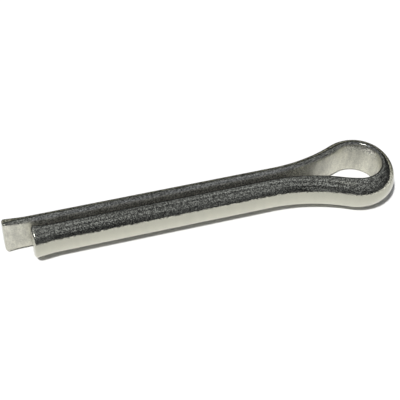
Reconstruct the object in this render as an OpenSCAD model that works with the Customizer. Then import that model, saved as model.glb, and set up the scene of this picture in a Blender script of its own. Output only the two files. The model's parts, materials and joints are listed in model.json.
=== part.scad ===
// Cotter pin (split pin): one length of half-round wire folded back on itself.
//
// The two legs lie flat to flat and close to a round shank. The fold is left
// open as a teardrop eye, and one leg is longer so that the pair can be prised
// apart. The pin lies on its side: X runs along the shank towards the eye, the
// legs sit either side of the XZ plane (the long one at +Y), and Z is up.
// The origin is on the shank's axis, where the first leg leaves the straight.

/* [Shank] */
// Diameter of the closed shank
shank_d = 5.9; // [3:0.1:12]
// Room round the closed shank in the hole that the pin is made for
hole_play = 0.4; // [0.1:0.1:1]
// Length from the mouth of that hole to the tip of the short leg
length = 39.2; // [20:0.2:120]
// How far the long leg reaches past the short one
leg_step = 3.7; // [1:0.1:8]
// Gap left between the two flats
leg_gap = 0.9; // [0.2:0.1:1.6]
// Radius between the flat and the round back of the wire
wire_corner_r = 0.3; // [0.1:0.05:0.4]

/* [Eye] */
// Width of the opening in the eye
eye_hole_d = 7.2; // [4:0.1:16]
// How far the eye sits off the shank's axis, towards the long leg
eye_shift = -0.4; // [-0.8:0.1:0.8]
// Angle that the long leg turns outwards before the eye turns it back, in degrees
turn_long = 24.5; // [18:0.1:40]
// The same angle of the short leg
turn_short = 27.9; // [18:0.1:40]

/* [Tips] */
// Radius where the shear rolled the lower end of the cut over
tip_roll_r = 0.8; // [0.2:0.05:1]
// Radius left on the other edges of the cut
tip_edge_r = 0.5; // [0.1:0.05:0.6]

/* [Hidden] */
$fn = 96;

// the wire: a round bar of the shank's size with its flat half a gap off centre
shank_r = shank_d / 2;
flat_y = leg_gap / 2;
wire_t = shank_r - flat_y;

// every rounding arc is drawn this far past the faces that it joins, which trim it
hair = 0.005;
corner_r = min(wire_corner_r, wire_t / 4);
corner_y = flat_y + corner_r - hair;
corner_off = shank_r - corner_r + hair;
corner_turn = acos(corner_y / corner_off);
corner_z = corner_off * sin(corner_turn);
wire_top = corner_z + corner_r;

// each leg flares on an arc about a centre out past its back, up to the turn at
// which the eye's own arc takes over; side is 1 for the long leg, -1 for the short
eye_r = eye_hole_d / 2;
function turn(side) = side > 0 ? turn_long : turn_short;
function flare_r(side) =
    (eye_r * cos(turn(side)) - flat_y + side * eye_shift) / (1 - cos(turn(side)));
function flare_y(side) = flat_y + flare_r(side);
function flare_reach(side) = (eye_r + flare_r(side)) * sin(turn(side));
eye_x = max(flare_reach(1), flare_reach(-1));
function neck_x(side) = eye_x - flare_reach(side);

// the pin stops where its flared backs have grown to the hole's size
hole_d = shank_d + hole_play;
function back_r(side) = flare_r(side) - wire_t;
function stop_x(side) =
    neck_x(side) + sqrt(pow(back_r(side), 2) - pow(flare_y(side) - hole_d / 2, 2));
short_tip_x = (stop_x(1) + stop_x(-1)) / 2 - length;
long_tip_x = short_tip_x - leg_step;

// the outlines that round a tip stand this far off the wire's own faces
clear = 0.06;
roll_r = min(tip_roll_r, wire_t / 3);
edge_r = min(tip_edge_r, wire_t / 3);

// Section of the wire: the shank's circle, cut to its flat, with rounded corners
module wire_section() {
    far_y = shank_d * cos(corner_turn);
    far_z = shank_d * sin(corner_turn);
    intersection() {
        circle(r = shank_r);
        translate([flat_y, -shank_r])
            square([shank_r, shank_d]);
        union() {
            polygon([
                [0, corner_z], [0, -corner_z], [corner_y, -corner_z], [far_y, -far_z],
                [shank_d, -far_z], [shank_d, far_z], [far_y, far_z], [corner_y, corner_z]
            ]);
            for (up = [-1, 1])
                translate([corner_y, up * corner_z])
                    circle(r = corner_r);
        }
    }
}

// Outline of a cut end at x = 0: a strip from low to high, rounded at the cut
module cut_outline(run, low, high, low_r, high_r) {
    low_at = [low_r - hair, low + low_r - hair];
    high_at = [high_r - hair, high - high_r + hair];
    intersection() {
        translate([0, low])
            square([run, high - low]);
        union() {
            polygon([
                [-low_r, low_at.y], low_at, [low_at.x, low - low_r], [2 * run, low - low_r],
                [2 * run, high + high_r], [high_at.x, high + high_r], high_at, [-low_r, high_at.y]
            ]);
            translate(low_at)
                circle(r = low_r);
            translate(high_at)
                circle(r = high_r);
        }
    }
}

// Moves by v in two steps, whole thousandths first, which keeps every digit of it
module place(v) {
    whole = [for (c = v) round(c * 1000) / 1000];
    translate(whole)
        translate(v - whole)
            children();
}

// A straight leg at +Y, from the neck at x = 0 back to its cut tip
module leg(run) {
    translate([-run, 0, 0])
        intersection() {
            rotate([90, 0, 90])
                linear_extrude(height = run)
                    wire_section();
            translate([0, 0, -shank_r])
                linear_extrude(height = shank_d)
                    cut_outline(run + clear, flat_y - clear, shank_r + clear, edge_r, edge_r);
            rotate([90, 0, 0])
                translate([0, 0, -shank_d])
                    linear_extrude(height = shank_d)
                        cut_outline(run + clear, -wire_top - clear, wire_top + clear, roll_r, edge_r);
        }
}

// The bend at +Y that leads a leg into the eye, about a centre past its round back
module flare(side) {
    place([0, flare_y(side), 0])
        rotate_extrude(angle = turn(side), start = 270)
            place([flare_y(side), 0])
                rotate(180)
                    wire_section();
}

// A leg at +Y with the flare that it runs into
module half(side, tip_x) {
    place([neck_x(side), 0, 0]) {
        leg(neck_x(side) - tip_x);
        flare(side);
    }
}

// The eye's own bend, from one flare round to the other
module eye() {
    place([eye_x, eye_shift, 0])
        rotate_extrude(angle = 180 + turn_long + turn_short, start = -90 - turn_short)
            translate([eye_r - flat_y, 0])
                wire_section();
}

module cotter_pin() {
    color([0.72, 0.72, 0.69]) {
        half(1, long_tip_x);
        mirror([0, 1, 0])
            half(-1, short_tip_x);
        eye();
    }
}

cotter_pin();
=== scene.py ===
import json
import math

import bmesh
import bpy
from mathutils import Matrix, Vector


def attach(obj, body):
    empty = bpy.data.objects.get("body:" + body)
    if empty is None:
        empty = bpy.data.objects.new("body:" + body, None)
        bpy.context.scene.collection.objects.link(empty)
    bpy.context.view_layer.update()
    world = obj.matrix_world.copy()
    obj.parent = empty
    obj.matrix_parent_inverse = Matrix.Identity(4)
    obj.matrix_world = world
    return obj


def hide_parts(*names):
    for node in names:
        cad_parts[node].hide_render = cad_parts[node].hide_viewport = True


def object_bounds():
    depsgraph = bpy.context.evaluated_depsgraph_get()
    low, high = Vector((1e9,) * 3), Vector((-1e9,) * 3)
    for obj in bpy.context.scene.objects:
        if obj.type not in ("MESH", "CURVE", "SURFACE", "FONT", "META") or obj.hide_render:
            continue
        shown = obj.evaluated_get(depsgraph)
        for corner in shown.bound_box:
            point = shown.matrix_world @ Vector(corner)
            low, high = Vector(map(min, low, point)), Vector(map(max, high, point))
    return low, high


bl_info = {
    "name": "Cotter Pin",
    "version": (1, 0, 0),
    "blender": (4, 5, 0),
    "location": "View3D > Sidebar > Cotter Pin",
    "description": "Finishes a split cotter pin in drawn steel and lights it on a pale bench",
    "category": "Object",
}

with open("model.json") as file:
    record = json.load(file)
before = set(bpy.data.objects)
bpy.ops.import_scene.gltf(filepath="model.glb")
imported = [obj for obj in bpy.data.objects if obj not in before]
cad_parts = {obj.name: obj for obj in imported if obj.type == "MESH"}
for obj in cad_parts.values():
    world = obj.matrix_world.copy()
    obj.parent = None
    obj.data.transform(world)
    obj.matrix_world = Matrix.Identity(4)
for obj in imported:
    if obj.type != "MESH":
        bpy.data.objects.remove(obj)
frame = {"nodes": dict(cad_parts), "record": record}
CAD_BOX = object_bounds()
CAD_NODE = "cotter_pin"
BODY = "root"

BOX_LOW, BOX_HIGH = CAD_BOX
BOX_MIDDLE = (BOX_LOW + BOX_HIGH) / 2
MM = 0.001
SHANK, EYE = (
    next(mount for mount in frame["record"]["mounts"] if mount["name"] == name)
    for name in ("shank", "eye")
)
EYE_MIDDLE = Vector(EYE["pos_m"])

WHOLE = (0.0, 1.0)
UP = Vector((0.0, 0.0, 1.0))


# ---- small helpers ---------------------------------------------------------------------------

def eased(value):
    """0 to 1, flat at both ends."""
    value = min(max(value, 0.0), 1.0)
    return value * value * (3 - 2 * value)


def ramp(value, start, run):
    """0 up to start, then eased up to 1 over a run."""
    return eased((value - start) / run)


def only_select(thing):
    """Leaves one object selected and active, in object mode."""
    bpy.ops.object.select_all(action="DESELECT")
    thing.select_set(True)
    bpy.context.view_layer.objects.active = thing


# ---- nodes -----------------------------------------------------------------------------------

def add_node(tree, kind, label, inputs=None, **settings):
    """A node with its settings; each input is a fixed value or another node's output."""
    made = tree.nodes.new(kind)
    made.label = label
    for name, value in settings.items():
        setattr(made, name, value)
    for name, value in (inputs or {}).items():
        if isinstance(value, bpy.types.NodeSocket):
            tree.links.new(value, made.inputs[name])
        else:
            made.inputs[name].default_value = value
    return made


def noise(tree, label, place, scale, detail, roughness):
    """A noise over a place or a direction."""
    inputs = {"Vector": place, "Scale": scale, "Detail": detail, "Roughness": roughness}
    return add_node(tree, "ShaderNodeTexNoise", label, inputs).outputs["Fac"]


def remap(tree, label, value, reach, result, **settings):
    """Turns a value that runs over a reach into a result that runs between two others."""
    names = ("Value", "From Min", "From Max", "To Min", "To Max")
    inputs = dict(zip(names, (value, *reach, *result)))
    return add_node(tree, "ShaderNodeMapRange", label, inputs, **settings).outputs["Result"]


def mix_values(tree, label, share, low, high):
    """A value between two others."""
    inputs = {"Factor": share, "A": low, "B": high}
    return add_node(tree, "ShaderNodeMix", label, inputs, data_type="FLOAT").outputs["Result"]


def mix_colours(tree, label, share, low, high):
    """A colour between two others, each a fixed one or another node's output."""
    low, high = (
        colour if isinstance(colour, bpy.types.NodeSocket) else (*colour, 1.0)
        for colour in (low, high)
    )
    inputs = {"Factor": share, "A": low, "B": high}
    return add_node(tree, "ShaderNodeMix", label, inputs, data_type="RGBA").outputs["Result"]


def read_mark(tree, label, name):
    """A finish that was marked on the piece."""
    return add_node(tree, "ShaderNodeAttribute", label, attribute_name=name).outputs["Fac"]


# ---- settings --------------------------------------------------------------------------------

def size_prop(name, description, default):
    """A length, in metres."""
    return bpy.props.FloatProperty(
        name=name, description=description, default=default, min=0.0, max=1.0,
        precision=5, subtype="DISTANCE", unit="LENGTH",
    )


def turn_prop(name, description, degrees, low=0.0):
    """An angle, given in degrees."""
    return bpy.props.FloatProperty(
        name=name, description=description, default=math.radians(degrees),
        min=math.radians(low), max=math.radians(360), subtype="ANGLE", unit="ROTATION",
    )


def share_prop(name, description, default):
    """A share, from 0 to 1."""
    return bpy.props.FloatProperty(
        name=name, description=description, default=default, min=0.0, max=1.0, subtype="FACTOR",
    )


def colour_prop(name, description, default):
    """A colour."""
    return bpy.props.FloatVectorProperty(
        name=name, description=description, default=default,
        min=0.0, max=1.0, size=3, subtype="COLOR",
    )


class PinSettings(bpy.types.PropertyGroup):
    """The pin's sizes and finish."""

    shank_radius: size_prop(
        "Shank radius", "Radius of the closed shank", SHANK["dims"]["r_mm"] * MM)
    leg_gap: size_prop("Leg gap", "Gap between the two flats", 0.9 * MM)
    eye_corner: size_prop(
        "Eye corner", "Radius between the flat and the round back in the eye", 0.3 * MM)
    leg_corner: size_prop("Leg corner", "The same radius along the legs", 0.6 * MM)
    eye_wear: share_prop(
        "Eye wear", "Share of the legs' wider corner that the eye keeps", 0.4)
    corner_fade: size_prop(
        "Corner fade", "Length before the eye's middle over which one becomes the other", 3.0 * MM)
    shear_reach: size_prop(
        "Shear reach", "How far the shear sharpened the corners at each cut end", 2.0 * MM)
    eye_radius: size_prop(
        "Eye radius", "Radius of the opening in the eye", EYE["dims"]["r_mm"] * MM)
    turn_long: turn_prop(
        "Long leg's turn", "How far the long leg turns outwards before the eye", 24.5)
    turn_short: turn_prop(
        "Short leg's turn", "How far the short leg turns outwards before the eye", 27.9)
    leg_step: size_prop(
        "Leg step", "How far the long leg reaches past the short one", 3.7 * MM)
    tip_rounding: size_prop(
        "Tip rounding", "Radius round the edges of the cut ends", 0.5 * MM)
    fold_thinning: size_prop(
        "Fold thinning", "How much thinner the wire gets where the eye is folded", 0.3 * MM)
    fold_spread: turn_prop(
        "Fold spread", "How far round the eye the thinning reaches on each side", 75.0)
    tip_spread: size_prop(
        "Tip spread", "How far the shear pushed the backs of the cut ends outwards", 0.28 * MM)
    spread_reach: size_prop(
        "Spread reach", "Length of leg over which that fades", 3.5 * MM)
    # Painted light and shade: the steel's colour is darker on faces that point up and lighter low
    # on the round side, standing in for the dim room and the bright bench that the steel mirrors.
    shaded_top_colour: colour_prop(
        "Steel colour", "Colour of the tumbled steel, seen from above", (0.46, 0.455, 0.38))
    lit_under_colour: colour_prop(
        "Underside colour", "Colour of the steel low on the round side", (0.525, 0.52, 0.438))
    # Partly wear, partly painted shade: the flats are made darker in the slot between the legs and
    # along the eye's far rim.
    rubbed_shaded_colour: colour_prop(
        "Rubbed colour", "Colour of the flats where they were rubbed bare", (0.46, 0.455, 0.41))
    flat_colour: colour_prop(
        "Flat colour", "Colour of the film on the flats", (0.605, 0.595, 0.51))
    stain_colour: colour_prop(
        "Stain colour", "Colour of the dull patches", (0.36, 0.355, 0.31))
    dent_size: size_prop(
        "Dent size", "Width of a dent that tumbling left on the round side", 0.7 * MM)
    dent_depth: size_prop("Dent depth", "Depth of those dents", 0.010 * MM)
    grain_size: size_prop(
        "Grain size", "Width of one bump of the finer grain between the dents", 0.30 * MM)
    grain_depth: size_prop("Grain depth", "Height of that grain", 0.016 * MM)


class StageSettings(bpy.types.PropertyGroup):
    """Bench, light and camera."""

    bench_size: bpy.props.FloatProperty(
        name="Bench size",
        description="Side of the square bench top",
        default=6.0, min=0.5, subtype="DISTANCE", unit="LENGTH",
    )
    bench_colour: colour_prop("Bench colour", "Colour of the bench top", (0.97, 0.965, 0.955))
    room_low: colour_prop(
        "Room, low", "Light of the room near the bench's edge", (0.085, 0.088, 0.099))
    room_high: colour_prop(
        "Room, high", "Light of the room overhead", (0.235, 0.244, 0.270))
    lamp_strength: bpy.props.FloatProperty(
        name="Lamp strength",
        description="Light that the lamp throws on a surface facing it",
        default=3.14, min=0.0,
    )
    lamp_from: bpy.props.FloatVectorProperty(
        name="Lamp from",
        description="Direction from the pin to the lamp",
        default=(-0.330, -0.312, 0.891), size=3, subtype="DIRECTION",
    )
    lamp_spread: turn_prop("Lamp spread", "How wide the lamp looks from the bench", 3.0)
    glint_share: share_prop(
        "Glint share", "Part of the lamp's light that the steel mirrors straight back", 0.2)
    glint_spread: turn_prop("Glint spread", "How wide the lamp looks in the steel", 10.0)
    camera_heading: turn_prop(
        "Camera heading", "Direction in which the camera looks, turned from the X axis", 71.14)
    camera_dip: turn_prop("Camera dip", "How far the camera looks down", 45.66)
    camera_roll: turn_prop(
        "Camera roll", "Turn of the camera about its own line of sight", 2.35, low=-360.0)
    camera_aim: bpy.props.FloatVectorProperty(
        name="Camera aim",
        description="Point in the middle of the view",
        default=(BOX_MIDDLE.x - 0.84 * MM, BOX_MIDDLE.y + 0.87 * MM, 0.0),
        size=3, subtype="XYZ", unit="LENGTH",
    )
    camera_distance: size_prop(
        "Camera distance", "From the camera to the point that it looks at", 147.14 * MM)
    camera_lens: bpy.props.FloatProperty(
        name="Camera lens",
        description="Focal length on a 36 mm sensor, in mm",
        default=90.0, min=10.0,
    )


# ---- steel -----------------------------------------------------------------------------------

# The share of the grain's height that the flats keep.
GRAIN_ON_FLATS = 0.25
# Dull patches: how many to a metre, how they are stretched (less than 1 draws them out), the
# values of their noise from clear to dullest, and how dull they get on the back and the flats.
PATCH_SCALE = 900.0
PATCH_STRETCH = (1.0, 1.0, 0.35)
PATCH_REACH = (0.42, 0.78)
PATCH_STRENGTH = (0.25, 1.0)
# Pits and painted speckle: how many to a bump of the grain, the values of their noise from the
# darkest speck to the lightest, and what those two do to the steel's colour. The light specks are
# a painted reflection of the room's clutter.
PITS_PER_GRAIN = 1.5
PIT_REACH = (0.36, 0.66)
PIT_LIGHT = (0.38, 1.85)
# How metallic the film is, and how rough the tumbled steel, the film and a torn cut are.
FILM_METALLIC = 0.72
TUMBLED_ROUGHNESS, FILM_ROUGHNESS, TORN_ROUGHNESS = 0.13, 0.4, 0.2
# Painted shade: what is left of the mirror seen edge-on on faces that point up, so that their edge
# looks dark.
PAINTED_EDGE_TINT = 0.02


def wire_colour(tree, pin, place, flat):
    """Painted lighter below and darker above, filmed over on the flats, rubbed bare and painted
    darker in the slot and on the far rim, and speckled above with a painted reflection.
    """
    # Painted light and shade: lighter steel low on the round side and darker steel above, by which
    # way a face points.
    upper = read_mark(tree, "Painted shade on top", "painted_top_shade")
    bare = mix_colours(
        tree, "Painted lit underside to shaded top", upper, pin.lit_under_colour, pin.shaded_top_colour)
    filmed = mix_colours(tree, "Film on the flats", flat, bare, pin.flat_colour)
    # Partly wear, partly painted shade: darker, barer flats in the slot between the legs and on
    # the far rim.
    rubbed = read_mark(tree, "Rubbed and shaded flat", "rubbed_and_shaded_flat")
    clean = mix_colours(tree, "Rubbed bare and shaded", rubbed, filmed, pin.rubbed_shaded_colour)

    stretched = add_node(
        tree, "ShaderNodeVectorMath", "Drawn out upwards", {0: place, 1: PATCH_STRETCH},
        operation="MULTIPLY").outputs["Vector"]
    patches = noise(tree, "Dull patches", stretched, PATCH_SCALE, detail=3.0, roughness=0.6)
    strength = remap(tree, "Stain limit", flat, WHOLE, PATCH_STRENGTH)
    stain = remap(tree, "Stain amount", patches, PATCH_REACH, (0.0, strength))
    stained = mix_colours(tree, "Steel and stain", stain, clean, pin.stain_colour)

    # Real pits, with light and dark specks put mostly on faces that point up as a painted
    # reflection of the room's clutter.
    pits = noise(
        tree, "Pits", place, PITS_PER_GRAIN / pin.grain_size, detail=1.0, roughness=0.6)
    pit_light = remap(tree, "Dark and light pits", pits, PIT_REACH, PIT_LIGHT)
    pits_and_painted_speckle = read_mark(tree, "Pits and painted speckle", "pits_and_painted_speckle")
    pit_share = mix_values(tree, "Pit share", pits_and_painted_speckle, 1.0, pit_light)
    return add_node(
        tree, "ShaderNodeVectorMath", "Speckled steel", {"Vector": stained, "Scale": pit_share},
        operation="SCALE").outputs["Vector"]


def steel_material(pin):
    """Tumbled, drawn steel: grained on the round side, with a dull film on the flats."""
    steel = bpy.data.materials.new("drawn_steel")
    steel.use_nodes = True
    tree = steel.node_tree
    tree.nodes.clear()
    place = add_node(tree, "ShaderNodeTexCoord", "Place").outputs["Object"]
    flat = read_mark(tree, "Flat side", "flat_side")

    grain = noise(tree, "Tumbled grain", place, 1 / pin.grain_size, detail=1.0, roughness=0.5)
    grain_share = remap(tree, "Grain share", flat, WHOLE, (1.0, GRAIN_ON_FLATS))
    bumped = add_node(
        tree, "ShaderNodeBump", "Grain bump",
        {"Height": grain, "Strength": grain_share, "Distance": pin.grain_depth})

    rough = remap(tree, "Roughness", flat, WHOLE, (TUMBLED_ROUGHNESS, FILM_ROUGHNESS))
    cut = read_mark(tree, "Cut end", "cut_end")
    grained = read_mark(tree, "Painted dark edge", "painted_dark_edge")
    skin = add_node(tree, "ShaderNodeBsdfPrincipled", "Steel", {
        "Base Color": wire_colour(tree, pin, place, flat),
        "Metallic": remap(tree, "Bare metal share", flat, WHOLE, (1.0, FILM_METALLIC)),
        "Roughness": mix_values(tree, "Torn metal of the cut", cut, rough, TORN_ROUGHNESS),
        # Painted shade: an edge tint on faces that point up darkens the steel seen edge-on, so
        # that the upper side's edge looks dark.
        "Specular Tint": mix_colours(
            tree, "Edge tint", grained, (1.0, 1.0, 1.0), (PAINTED_EDGE_TINT,) * 3),
        "Normal": bumped.outputs["Normal"],
    })
    add_node(tree, "ShaderNodeOutputMaterial", "Output", {"Surface": skin.outputs["BSDF"]})
    return steel


# ---- the pin ---------------------------------------------------------------------------------

# In how many steps each stretch of the wire's outline, its length and its cut ends is drawn.
FLAT_STEPS, CORNER_STEPS, BACK_STEPS = 8, 5, 34
LEG_STEPS, FLARE_STEPS, EYE_STEPS = 76, 26, 72
TIP_STEPS = 5
# How far in the further rings of a cut end lie, from its rounded edge to its middle.
END_RINGS = (0.2, 0.5, 0.8)
# Points nearer than this are the same point.
SAME_POINT = 0.01 * MM
# The lean at which a face starts to count as a leg's back, and the one at which it starts to
# be spared the dents, each with the further lean over which it comes to do so fully. A lean
# is the share of a face's normal that points outwards for the first, inwards for the second.
BACK_LEAN = (0.45, 0.25)
SPARED_LEAN = (0.5, 0.4)
# The share of the dents' depth that the flats are spared.
FLATS_SPARED = 0.9


def pick_end(piece, end_x):
    """Selects the open edges of the wire at a cut end, in edit mode."""
    bpy.ops.mesh.select_mode(type="EDGE")
    bpy.ops.mesh.select_all(action="DESELECT")
    mesh = bmesh.from_edit_mesh(piece.data)
    found = [
        edge for edge in mesh.edges
        if edge.is_boundary and abs(edge.verts[0].co.x - end_x) < SAME_POINT
    ]
    if not found:
        raise RuntimeError("the wire has no open end to close")
    for edge in found:
        edge.select = True
    mesh.select_flush_mode()
    bmesh.update_edit_mesh(piece.data)


def apply_modifier(piece, kind, **settings):
    """Adds a modifier to the piece and applies it."""
    only_select(piece)
    bpy.ops.object.modifier_add(type=kind)
    modifier = piece.modifiers[-1]
    for name, value in settings.items():
        setattr(modifier, name, value)
    bpy.ops.object.modifier_apply(modifier=modifier.name)


def weigh(piece, name, weight_at):
    """A vertex group whose weights come from each point's place and normal."""
    group = piece.vertex_groups.new(name=name)
    for vertex in piece.data.vertices:
        group.add([vertex.index], weight_at(vertex.co, vertex.normal), "REPLACE")


def mark(piece, name, value_at):
    """An attribute that the steel reads, from each point's place and normal."""
    marks = piece.data.attributes.new(name, "FLOAT", "POINT")
    for vertex, item in zip(piece.data.vertices, marks.data):
        item.value = value_at(vertex.co, vertex.normal)


def flare_radius(pin, turn, side):
    """Radius of the bend that leads a leg into the eye, along its flat."""
    drop = pin.eye_radius * math.cos(turn) - pin.leg_gap / 2 + side * EYE_MIDDLE.y
    return drop / (1 - math.cos(turn))


def draw_straight(run, steps):
    """Draws what is selected along a straight run."""
    step = [length / steps for length in run]
    for _ in range(steps):
        bpy.ops.mesh.extrude_region_move(TRANSFORM_OT_translate={"value": step})


def draw_bend(centre_x, centre_y, turn, steps):
    """Draws the selected outline round an upright axis; a turn above 0 is clockwise from above."""
    bpy.ops.mesh.spin(steps=steps, angle=turn, center=(centre_x, centre_y, 0), axis=(0, 0, 1))


def outline_section(pin, end_x, corner):
    """The wire's half-round outline, drawn round from the middle of its flat at a cut end."""
    flat_y = pin.leg_gap / 2
    corner_y = flat_y + corner
    back_turn = math.acos(corner_y / (pin.shank_radius - corner))
    corner_z = (pin.shank_radius - corner) * math.sin(back_turn)
    bpy.ops.mesh.primitive_plane_add(size=MM, location=(end_x, flat_y, 0))
    piece = bpy.context.object
    bpy.ops.object.transform_apply(location=True, rotation=True, scale=True)
    bpy.ops.object.mode_set(mode="EDIT")
    bpy.ops.mesh.select_mode(type="VERT")
    bpy.ops.mesh.select_all(action="SELECT")
    bpy.ops.mesh.merge(type="CENTER")
    draw_straight((0, 0, corner_z), FLAT_STEPS)
    for centre, turn, steps in (
        ((end_x, corner_y, corner_z), math.pi - back_turn, CORNER_STEPS),
        ((end_x, 0, 0), 2 * back_turn, BACK_STEPS),
        ((end_x, corner_y, -corner_z), math.pi - back_turn, CORNER_STEPS),
    ):
        bpy.ops.mesh.spin(steps=steps, angle=turn, center=centre, axis=(1, 0, 0))
    draw_straight((0, 0, corner_z), FLAT_STEPS)
    bpy.ops.mesh.select_all(action="SELECT")
    bpy.ops.mesh.remove_doubles(threshold=SAME_POINT)
    bpy.ops.mesh.select_all(action="SELECT")
    return piece


def close_tip(piece, pin, end_x, side):
    """Rounds a cut end and closes it; side is 1 at the long leg and -1 at the short one."""
    pick_end(piece, end_x)
    flat_y = pin.leg_gap / 2
    middle = (end_x, side * (pin.shank_radius + flat_y) / 2, 0)
    half_width, half_height = (pin.shank_radius - flat_y) / 2, BOX_HIGH.z
    round_r = pin.tip_rounding
    turns = [math.pi / 2 * step / TIP_STEPS for step in range(1, TIP_STEPS + 1)]
    rings = [(round_r * (1 - math.cos(turn)), round_r * math.sin(turn)) for turn in turns]
    rings += [(round_r + share * (half_width - round_r), round_r) for share in END_RINGS]
    last_in, last_out = 0.0, 0.0
    for drawn_in, drawn_out in rings:
        bpy.ops.mesh.extrude_region_move(
            TRANSFORM_OT_translate={"value": (last_out - drawn_out, 0, 0)})
        narrower = (half_width - drawn_in) / (half_width - last_in)
        lower = (half_height - drawn_in) / (half_height - last_in)
        bpy.ops.transform.resize(value=(1, narrower, lower), center_override=middle)
        last_in, last_out = drawn_in, drawn_out
    bpy.ops.mesh.edge_face_add()
    bpy.ops.mesh.poke()


def draw_wire(pin, corner):
    """The pin as one half-round wire, drawn from the long leg round the eye to the short one."""
    long_end = BOX_LOW.x + pin.tip_rounding
    short_end = long_end + pin.leg_step
    flat_y = pin.leg_gap / 2
    flare_long = flare_radius(pin, pin.turn_long, 1)
    flare_short = flare_radius(pin, pin.turn_short, -1)
    neck_long = EYE_MIDDLE.x - (pin.eye_radius + flare_long) * math.sin(pin.turn_long)
    neck_short = EYE_MIDDLE.x - (pin.eye_radius + flare_short) * math.sin(pin.turn_short)
    eye_turn = math.pi + pin.turn_long + pin.turn_short
    bpy.ops.object.select_all(action="DESELECT")
    piece = outline_section(pin, long_end, corner)
    draw_straight((neck_long - long_end, 0, 0), LEG_STEPS)
    draw_bend(neck_long, flat_y + flare_long, -pin.turn_long, FLARE_STEPS)
    draw_bend(EYE_MIDDLE.x, EYE_MIDDLE.y, eye_turn, EYE_STEPS)
    draw_bend(neck_short, -flat_y - flare_short, -pin.turn_short, FLARE_STEPS)
    draw_straight((short_end - neck_short, 0, 0), LEG_STEPS)
    close_tip(piece, pin, long_end, 1)
    close_tip(piece, pin, short_end, -1)
    bpy.ops.mesh.select_all(action="SELECT")
    bpy.ops.mesh.normals_make_consistent(inside=False)
    bpy.ops.mesh.faces_shade_smooth()
    bpy.ops.object.mode_set(mode="OBJECT")
    return piece


def tip_x(pin, place):
    """Where the leg at a place was cut."""
    return BOX_LOW.x + (0 if place.y > 0 else pin.leg_step)


def inward(place):
    """From a point of the wire towards the slot's middle or the eye's middle."""
    middle = Vector((min(place.x, EYE_MIDDLE.x), EYE_MIDDLE.y, place.z))
    return (middle - place).normalized()


def blend_corners(piece, pin):
    """Widens the corners along the legs, and leaves them sharper in the eye and at the cuts."""
    worn = draw_wire(pin, pin.leg_corner)
    only_select(worn)
    piece.select_set(True)
    bpy.context.view_layer.objects.active = piece
    bpy.ops.object.join_shapes()
    bpy.data.objects.remove(worn)

    def width(place, normal):
        on_leg = 1 - ramp(place.x, EYE_MIDDLE.x - pin.corner_fade, pin.corner_fade)
        return max(on_leg, pin.eye_wear) * ramp(place.x, tip_x(pin, place), pin.shear_reach)

    weigh(piece, "wide_corners", width)
    piece.active_shape_key_index = 1
    shape = piece.active_shape_key
    shape.vertex_group = "wide_corners"
    shape.value = 1.0
    only_select(piece)
    bpy.ops.object.shape_key_remove(all=True, apply_mix=True)


def thin_fold(piece, pin):
    """Draws the back of the eye in, as wire gets thinner where it is folded."""
    def thinned(place, normal):
        spoke = Vector((place.x - EYE_MIDDLE.x, place.y - EYE_MIDDLE.y))
        turn = abs(math.atan2(spoke.y, spoke.x))
        depth = (spoke.length - pin.eye_radius) / (pin.shank_radius - pin.leg_gap / 2)
        return eased(1 - turn / pin.fold_spread) * min(max(depth, 0.0), 1.0)

    weigh(piece, "fold", thinned)
    apply_modifier(
        piece, "DISPLACE", direction="X", strength=-pin.fold_thinning, mid_level=0.0,
        vertex_group="fold")


def spread_tips(piece, pin):
    """Pushes the back of each cut end outwards, as the shear does."""
    for side, name in ((1, "long_back"), (-1, "short_back")):
        def pushed(place, normal):
            if side * place.y <= 0:
                return 0.0
            near_cut = 1 - ramp(place.x, tip_x(pin, place), pin.spread_reach)
            return near_cut * ramp(side * normal.y, *BACK_LEAN)

        weigh(piece, name, pushed)
        apply_modifier(
            piece, "DISPLACE", direction="Y", strength=side * pin.tip_spread, mid_level=0.0,
            vertex_group=name)


def tumble(piece, pin):
    """Dents the round side all over, as tumbling does; the dents only go inwards."""
    apply_modifier(piece, "SUBSURF", levels=1, render_levels=1)
    dents = bpy.data.textures.new("tumbled_dents", "CLOUDS")
    dents.noise_scale = pin.dent_size
    dents.noise_depth = 1
    weigh(piece, "round_side", lambda place, normal: (
        1 - FLATS_SPARED * ramp(normal.dot(inward(place)), *SPARED_LEAN)))
    apply_modifier(
        piece, "DISPLACE", texture=dents, texture_coords="LOCAL", direction="NORMAL",
        strength=pin.dent_depth, mid_level=1.0, vertex_group="round_side")


# ---- where each finish and each painted shade lies -------------------------------------------

# The lean at which each finish or painted shade starts, and the further lean over which it takes
# over. A lean is the share of a face's normal that points up or, for the last two, inwards.
PAINTED_TOP_LEAN = (-0.2, 0.5)
PITS_LEAN = (0.28, 0.25)
DARK_EDGE_LEAN = (0.35, 0.25)
FLAT_LEAN = (0.6, 0.35)
RUBBED_LEAN = (0.0, 0.5)
# The far rim's direction from the eye's middle, along X and Y, and where the rim starts round
# the eye and up the wire, each with the run over which it takes over.
FAR_RIM_WAY = (0.6, 0.8)
FAR_RIM_ROUND = (0.45, 0.35)
FAR_RIM_UP = (0.2, 0.6)
# The runs over which the slot's finish starts past the short tip and ends before the eye.
SLOT_START, SLOT_END = MM, 8 * MM
# How deep the torn metal of a cut end is, and the run over which it then fades.
TORN_DEPTH, TORN_FADE = 0.2 * MM, MM
# The share of the film that is rubbed off in the slot and on the far rim, where the flats are also
# painted darker as shade.
SLOT_RUB, RIM_RUB = 0.3, 0.5
# How strongly pits and painted speckle mark the flats in the slot and elsewhere.
SLOT_PITS, FLAT_PITS = 0.9, 0.18


def in_slot(pin, place):
    """1 between the legs, 0 in the eye and where the long leg stands free."""
    past_tip = (place.x - BOX_LOW.x - pin.leg_step) / SLOT_START
    before_eye = (EYE_MIDDLE.x - pin.eye_radius - place.x) / SLOT_END
    return eased(past_tip) * eased(before_eye)


def on_flat(place, normal):
    """1 on the flats, 0 on the round side."""
    return ramp(normal.dot(inward(place)), *FLAT_LEAN)


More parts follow.
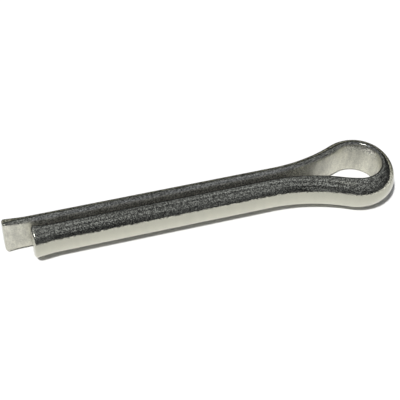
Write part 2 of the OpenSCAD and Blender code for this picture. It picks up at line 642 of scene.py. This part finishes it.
def rubbable(place, normal):
    """1 where the wire faces inwards enough to be rubbed, 0 on the round side."""
    return ramp(normal.dot(inward(place)), *RUBBED_LEAN)


def far_rim(place, normal):
    """1 along the upper edge of the eye's flat, on the side furthest from the legs."""
    spoke = (place - EYE_MIDDLE).normalized()
    way_x, way_y = FAR_RIM_WAY
    around = ramp(spoke.x * way_x + spoke.y * way_y, *FAR_RIM_ROUND)
    upwards = ramp(place.z / BOX_HIGH.z, *FAR_RIM_UP)
    return around * upwards * rubbable(place, normal)


def mark_finishes(piece, pin):
    """Marks where the wire is filmed over, rubbed bare and painted darker as shade, torn, given
    pits and painted speckle, and where faces that point up get a painted dark edge and painted
    shade.
    """
    def filmed(place, normal):
        left_in_slot = 1 - SLOT_RUB * in_slot(pin, place)
        left_on_rim = 1 - RIM_RUB * far_rim(place, normal)
        return on_flat(place, normal) * left_in_slot * left_on_rim

    # Partly wear, partly painted shade: the flats turn darker and barer in the slot between the
    # legs and on the eye's far rim.
    def rubbed(place, normal):
        return max(in_slot(pin, place) * rubbable(place, normal), far_rim(place, normal))

    def torn(place, normal):
        return 1 - ramp(place.x, tip_x(pin, place) + TORN_DEPTH, TORN_FADE)

    # Painted reflection: the speckle goes on faces that point up, where the room's clutter is
    # mirrored, as well as on the flats and the far rim.
    def pits_and_painted_speckle(place, normal):
        flat = on_flat(place, normal)
        return max(
            ramp(normal.z, *PITS_LEAN), SLOT_PITS * in_slot(pin, place) * flat,
            FLAT_PITS * flat, far_rim(place, normal))

    mark(piece, "flat_side", filmed)
    mark(piece, "rubbed_and_shaded_flat", rubbed)
    mark(piece, "cut_end", torn)
    mark(piece, "pits_and_painted_speckle", pits_and_painted_speckle)
    # Painted shade: the dark edge tint goes on faces that point up.
    mark(piece, "painted_dark_edge", lambda place, normal: ramp(normal.z, *DARK_EDGE_LEAN))
    # Painted shade: a darker colour on faces that point up, a lighter one below.
    mark(piece, "painted_top_shade", lambda place, normal: ramp(normal.z, *PAINTED_TOP_LEAN))


class COTTER_OT_pin(bpy.types.Operator):
    """Draw the pin's wire, fold it and give it its steel"""

    bl_idname = "cotter.pin"
    bl_label = "Make pin"
    bl_options = {"REGISTER", "UNDO"}

    def execute(self, context):
        pin = context.scene.cotter_pin
        piece = draw_wire(pin, pin.eye_corner)
        piece.name = piece.data.name = "split_pin"
        apply_modifier(
            piece, "SHRINKWRAP", target=frame["nodes"][CAD_NODE],
            wrap_method="NEAREST_SURFACEPOINT")
        blend_corners(piece, pin)
        thin_fold(piece, pin)
        spread_tips(piece, pin)
        tumble(piece, pin)
        mark_finishes(piece, pin)
        piece.data.materials.append(steel_material(pin))
        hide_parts(CAD_NODE)
        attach(piece, BODY)
        return {"FINISHED"}


# ---- bench, light and camera -----------------------------------------------------------------

# The heights between which the room's light rises.
ROOM_RISE = (0.05, 0.95)
# The room's clutter: its scale, the values of its noise from dark to light, and the share of
# the room's light that those two give.
CLUTTER_SCALE = 9.0
CLUTTER_REACH = (0.43, 0.58)
CLUTTER_LIGHT = (0.05, 2.1)
# The direction of the room's dim side, and the share of the room's light on the side opposite
# and on that side.
DIM_SIDE = (0.5, 0.86, 0.0)
DIM_LIGHT = (1.15, 0.2)
# How far off the lamps are drawn and how near and far the camera sees, in metres, and the
# width of its sensor, in mm.
LAMP_DISTANCE = 0.5
NEAREST_SEEN, FURTHEST_SEEN = 0.005, 20.0
SENSOR_WIDTH = 36.0


def lay_bench(stage):
    """The pale bench top that the pin lies on."""
    bpy.ops.mesh.primitive_plane_add(
        size=stage.bench_size, location=(BOX_MIDDLE.x, BOX_MIDDLE.y, BOX_LOW.z))
    bench = bpy.context.object
    bench.name = "bench"
    matt = bpy.data.materials.new("matt_bench")
    matt.use_nodes = True
    skin = matt.node_tree.nodes["Principled BSDF"]
    skin.inputs["Base Color"].default_value = (*stage.bench_colour, 1.0)
    skin.inputs["Roughness"].default_value = 1.0
    skin.inputs["Specular IOR Level"].default_value = 0.0
    bench.data.materials.append(matt)


def light_room(stage):
    """A dim and cluttered room, brighter overhead and dimmer low behind the pin."""
    world = bpy.data.worlds.new("room")
    bpy.context.scene.world = world
    world.use_nodes = True
    tree = world.node_tree
    tree.nodes.clear()
    way = add_node(tree, "ShaderNodeTexCoord", "Direction").outputs["Generated"]
    height = add_node(tree, "ShaderNodeSeparateXYZ", "Way", {"Vector": way}).outputs["Z"]
    rise = remap(tree, "Rise", height, ROOM_RISE, WHOLE, interpolation_type="SMOOTHSTEP")
    shade = mix_colours(tree, "Low to high", rise, stage.room_low, stage.room_high)

    clutter = noise(
        tree, "Walls and openings", way, CLUTTER_SCALE, detail=2.0, roughness=0.6)
    contrast = remap(tree, "Light and dark", clutter, CLUTTER_REACH, CLUTTER_LIGHT)
    facing = add_node(
        tree, "ShaderNodeVectorMath", "Towards the back and the eye", {0: way, 1: DIM_SIDE},
        operation="DOT_PRODUCT").outputs["Value"]
    behind = remap(tree, "Dimmer behind the pin", facing, (-1.0, 1.0), DIM_LIGHT)
    even = mix_values(tree, "Even overhead", rise, behind, 1.0)
    dimmed = add_node(
        tree, "ShaderNodeMath", "Dimmed", {0: contrast, 1: even},
        operation="MULTIPLY").outputs["Value"]
    glow = add_node(tree, "ShaderNodeBackground", "Room", {"Color": shade, "Strength": dimmed})
    add_node(tree, "ShaderNodeOutputWorld", "Output", {"Surface": glow.outputs["Background"]})


def hang_lamp(stage):
    """The studio lamp, with the part of its light that the steel mirrors as a lamp of its own."""
    lamp_from = Vector(stage.lamp_from)
    for name, share, spread, mirrored in (
        ("studio_lamp", 1 - stage.glint_share, stage.lamp_spread, False),
        ("glint_lamp", stage.glint_share, stage.glint_spread, True),
    ):
        bpy.ops.object.light_add(type="SUN", location=BOX_MIDDLE + lamp_from * LAMP_DISTANCE)
        lamp = bpy.context.object
        lamp.name = name
        lamp.data.energy = stage.lamp_strength * share
        lamp.data.angle = spread
        lamp.rotation_euler = (-lamp_from).to_track_quat("-Z", "Y").to_euler()
        lamp.visible_glossy = mirrored


def place_camera(stage):
    """The camera, from its heading, dip and roll."""
    level = Vector((math.cos(stage.camera_heading), math.sin(stage.camera_heading), 0.0))
    sight = level * math.cos(stage.camera_dip) - UP * math.sin(stage.camera_dip)
    right = sight.cross(UP).normalized()
    above = right.cross(sight)
    cos_roll, sin_roll = math.cos(stage.camera_roll), math.sin(stage.camera_roll)
    rolled_right = right * cos_roll + above * sin_roll
    rolled_above = above * cos_roll - right * sin_roll
    turn = Matrix((rolled_right, rolled_above, -sight)).transposed().to_4x4()
    data = bpy.data.cameras.new("camera")
    data.lens = stage.camera_lens
    data.sensor_width = SENSOR_WIDTH
    data.clip_start, data.clip_end = NEAREST_SEEN, FURTHEST_SEEN
    camera = bpy.data.objects.new("camera", data)
    bpy.context.scene.collection.objects.link(camera)
    stands_at = Vector(stage.camera_aim) - sight * stage.camera_distance
    camera.matrix_world = Matrix.Translation(stands_at) @ turn
    bpy.context.scene.camera = camera


class COTTER_OT_stage(bpy.types.Operator):
    """Lay the bench, light it and place the camera"""

    bl_idname = "cotter.stage"
    bl_label = "Set stage"
    bl_options = {"REGISTER", "UNDO"}

    def execute(self, context):
        stage = context.scene.cotter_stage
        lay_bench(stage)
        light_room(stage)
        hang_lamp(stage)
        place_camera(stage)
        context.scene.view_settings.view_transform = "Standard"
        return {"FINISHED"}


class COTTER_PT_panel(bpy.types.Panel):
    """Sizes, finish and stage of the cotter pin"""

    bl_idname = "COTTER_PT_panel"
    bl_label = "Cotter Pin"
    bl_space_type = "VIEW_3D"
    bl_region_type = "UI"
    bl_category = "Cotter Pin"

    def draw(self, context):
        for settings, operator in (
            (context.scene.cotter_pin, COTTER_OT_pin),
            (context.scene.cotter_stage, COTTER_OT_stage),
        ):
            box = self.layout.box()
            for name in settings.__annotations__:
                box.prop(settings, name)
            box.operator(operator.bl_idname)


CLASSES = (PinSettings, StageSettings, COTTER_OT_pin, COTTER_OT_stage, COTTER_PT_panel)


def register():
    for cls in CLASSES:
        bpy.utils.register_class(cls)
    bpy.types.Scene.cotter_pin = bpy.props.PointerProperty(type=PinSettings)
    bpy.types.Scene.cotter_stage = bpy.props.PointerProperty(type=StageSettings)


def unregister():
    del bpy.types.Scene.cotter_stage
    del bpy.types.Scene.cotter_pin
    for cls in reversed(CLASSES):
        bpy.utils.unregister_class(cls)


def main():
    register()
    bpy.ops.cotter.pin()
    bpy.ops.cotter.stage()


if __name__ == "__main__":
    main()
